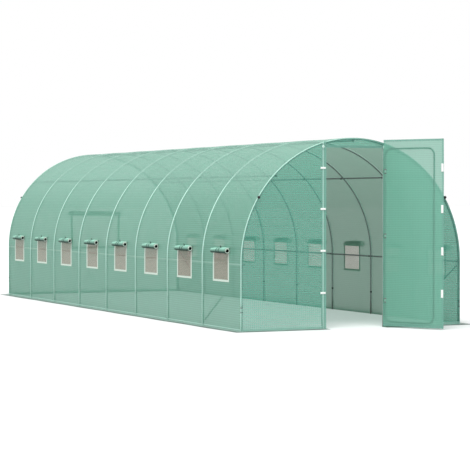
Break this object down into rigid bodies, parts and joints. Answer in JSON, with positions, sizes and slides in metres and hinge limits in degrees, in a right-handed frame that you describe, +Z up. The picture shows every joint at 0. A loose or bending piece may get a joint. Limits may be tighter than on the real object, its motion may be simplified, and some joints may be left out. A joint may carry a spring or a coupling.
{
  "type": "polytunnel greenhouse",
  "caption": "Walk-in polytunnel greenhouse: round-arched steel hoops under a translucent woven cover, with screened roll-up side windows and a framed swing door in one end.",
  "frame": {"origin": "middle of the footprint at ground level, ground flaps and the open door included", "axes": "+Y along the tunnel from the door end to the back end, +X to the right of someone who looks in at the door, +Z up"},
  "size_m": [3.2712, 9.94, 2.3153],
  "materials": {
    "hoop_tube": "galvanised, satin",
    "rail_tube": "galvanised, satin",
    "door_tube": "galvanised, satin",
    "hinge_steel": "zinc plated",
    "cover_cloth": "woven translucent sheet",
    "door_cloth": "woven translucent sheet",
    "rolled_flap": "woven sheet, rolled",
    "insect_screen": "fine mesh",
    "border_tape": "sewn tape",
    "white_webbing": "hook-and-loop tape"
  },
  "bodies": {
    "tunnel": {"back_left_brace": "rail_tube", "back_panel": "cover_cloth", "back_right_brace": "rail_tube", "back_skirt": "cover_cloth", "back_window_border": "border_tape", "back_window_roll": "rolled_flap", "back_window_screen": "insect_screen", "door_header": "rail_tube", "doorway_top_panel": "cover_cloth", "front_left_brace": "rail_tube", "front_left_panel": "cover_cloth", "front_right_brace": "rail_tube", "front_right_panel": "cover_cloth", "front_skirts": "cover_cloth", "hinge_brackets": "hinge_steel", "hinge_post": "hoop_tube", "hoop_1": "hoop_tube", "hoop_2": "hoop_tube", "hoop_3": "hoop_tube", "hoop_4": "hoop_tube", "hoop_5": "hoop_tube", "hoop_6": "hoop_tube", "hoop_7": "hoop_tube", "hoop_8": "hoop_tube", "hoop_9": "hoop_tube", "latch_post": "hoop_tube", "left_purlin": "rail_tube", "left_roof_cover": "cover_cloth", "left_side_rail": "rail_tube", "left_skirt": "cover_cloth", "left_wall_cover": "cover_cloth", "left_window_borders": "border_tape", "left_window_rolls": "rolled_flap", "left_window_screens": "insect_screen", "post_straps": "white_webbing", "ridge_purlin": "rail_tube", "right_purlin": "rail_tube", "right_roof_cover": "cover_cloth", "right_side_rail": "rail_tube", "right_skirt": "cover_cloth", "right_wall_cover": "cover_cloth", "right_window_borders": "border_tape", "right_window_rolls": "rolled_flap", "right_window_screens": "insect_screen"},
    "door": {"door_frame": "door_tube", "door_panel": "door_cloth", "door_patches": "white_webbing"}
  },
  "joints": [
    {"name": "door_hinge", "type": "hinge", "parent": "tunnel", "child": "door", "pos_m": [0.42, -4.21556, 0], "axis": [0, 0, 1], "range_deg": [-117, 53]}
  ]
}
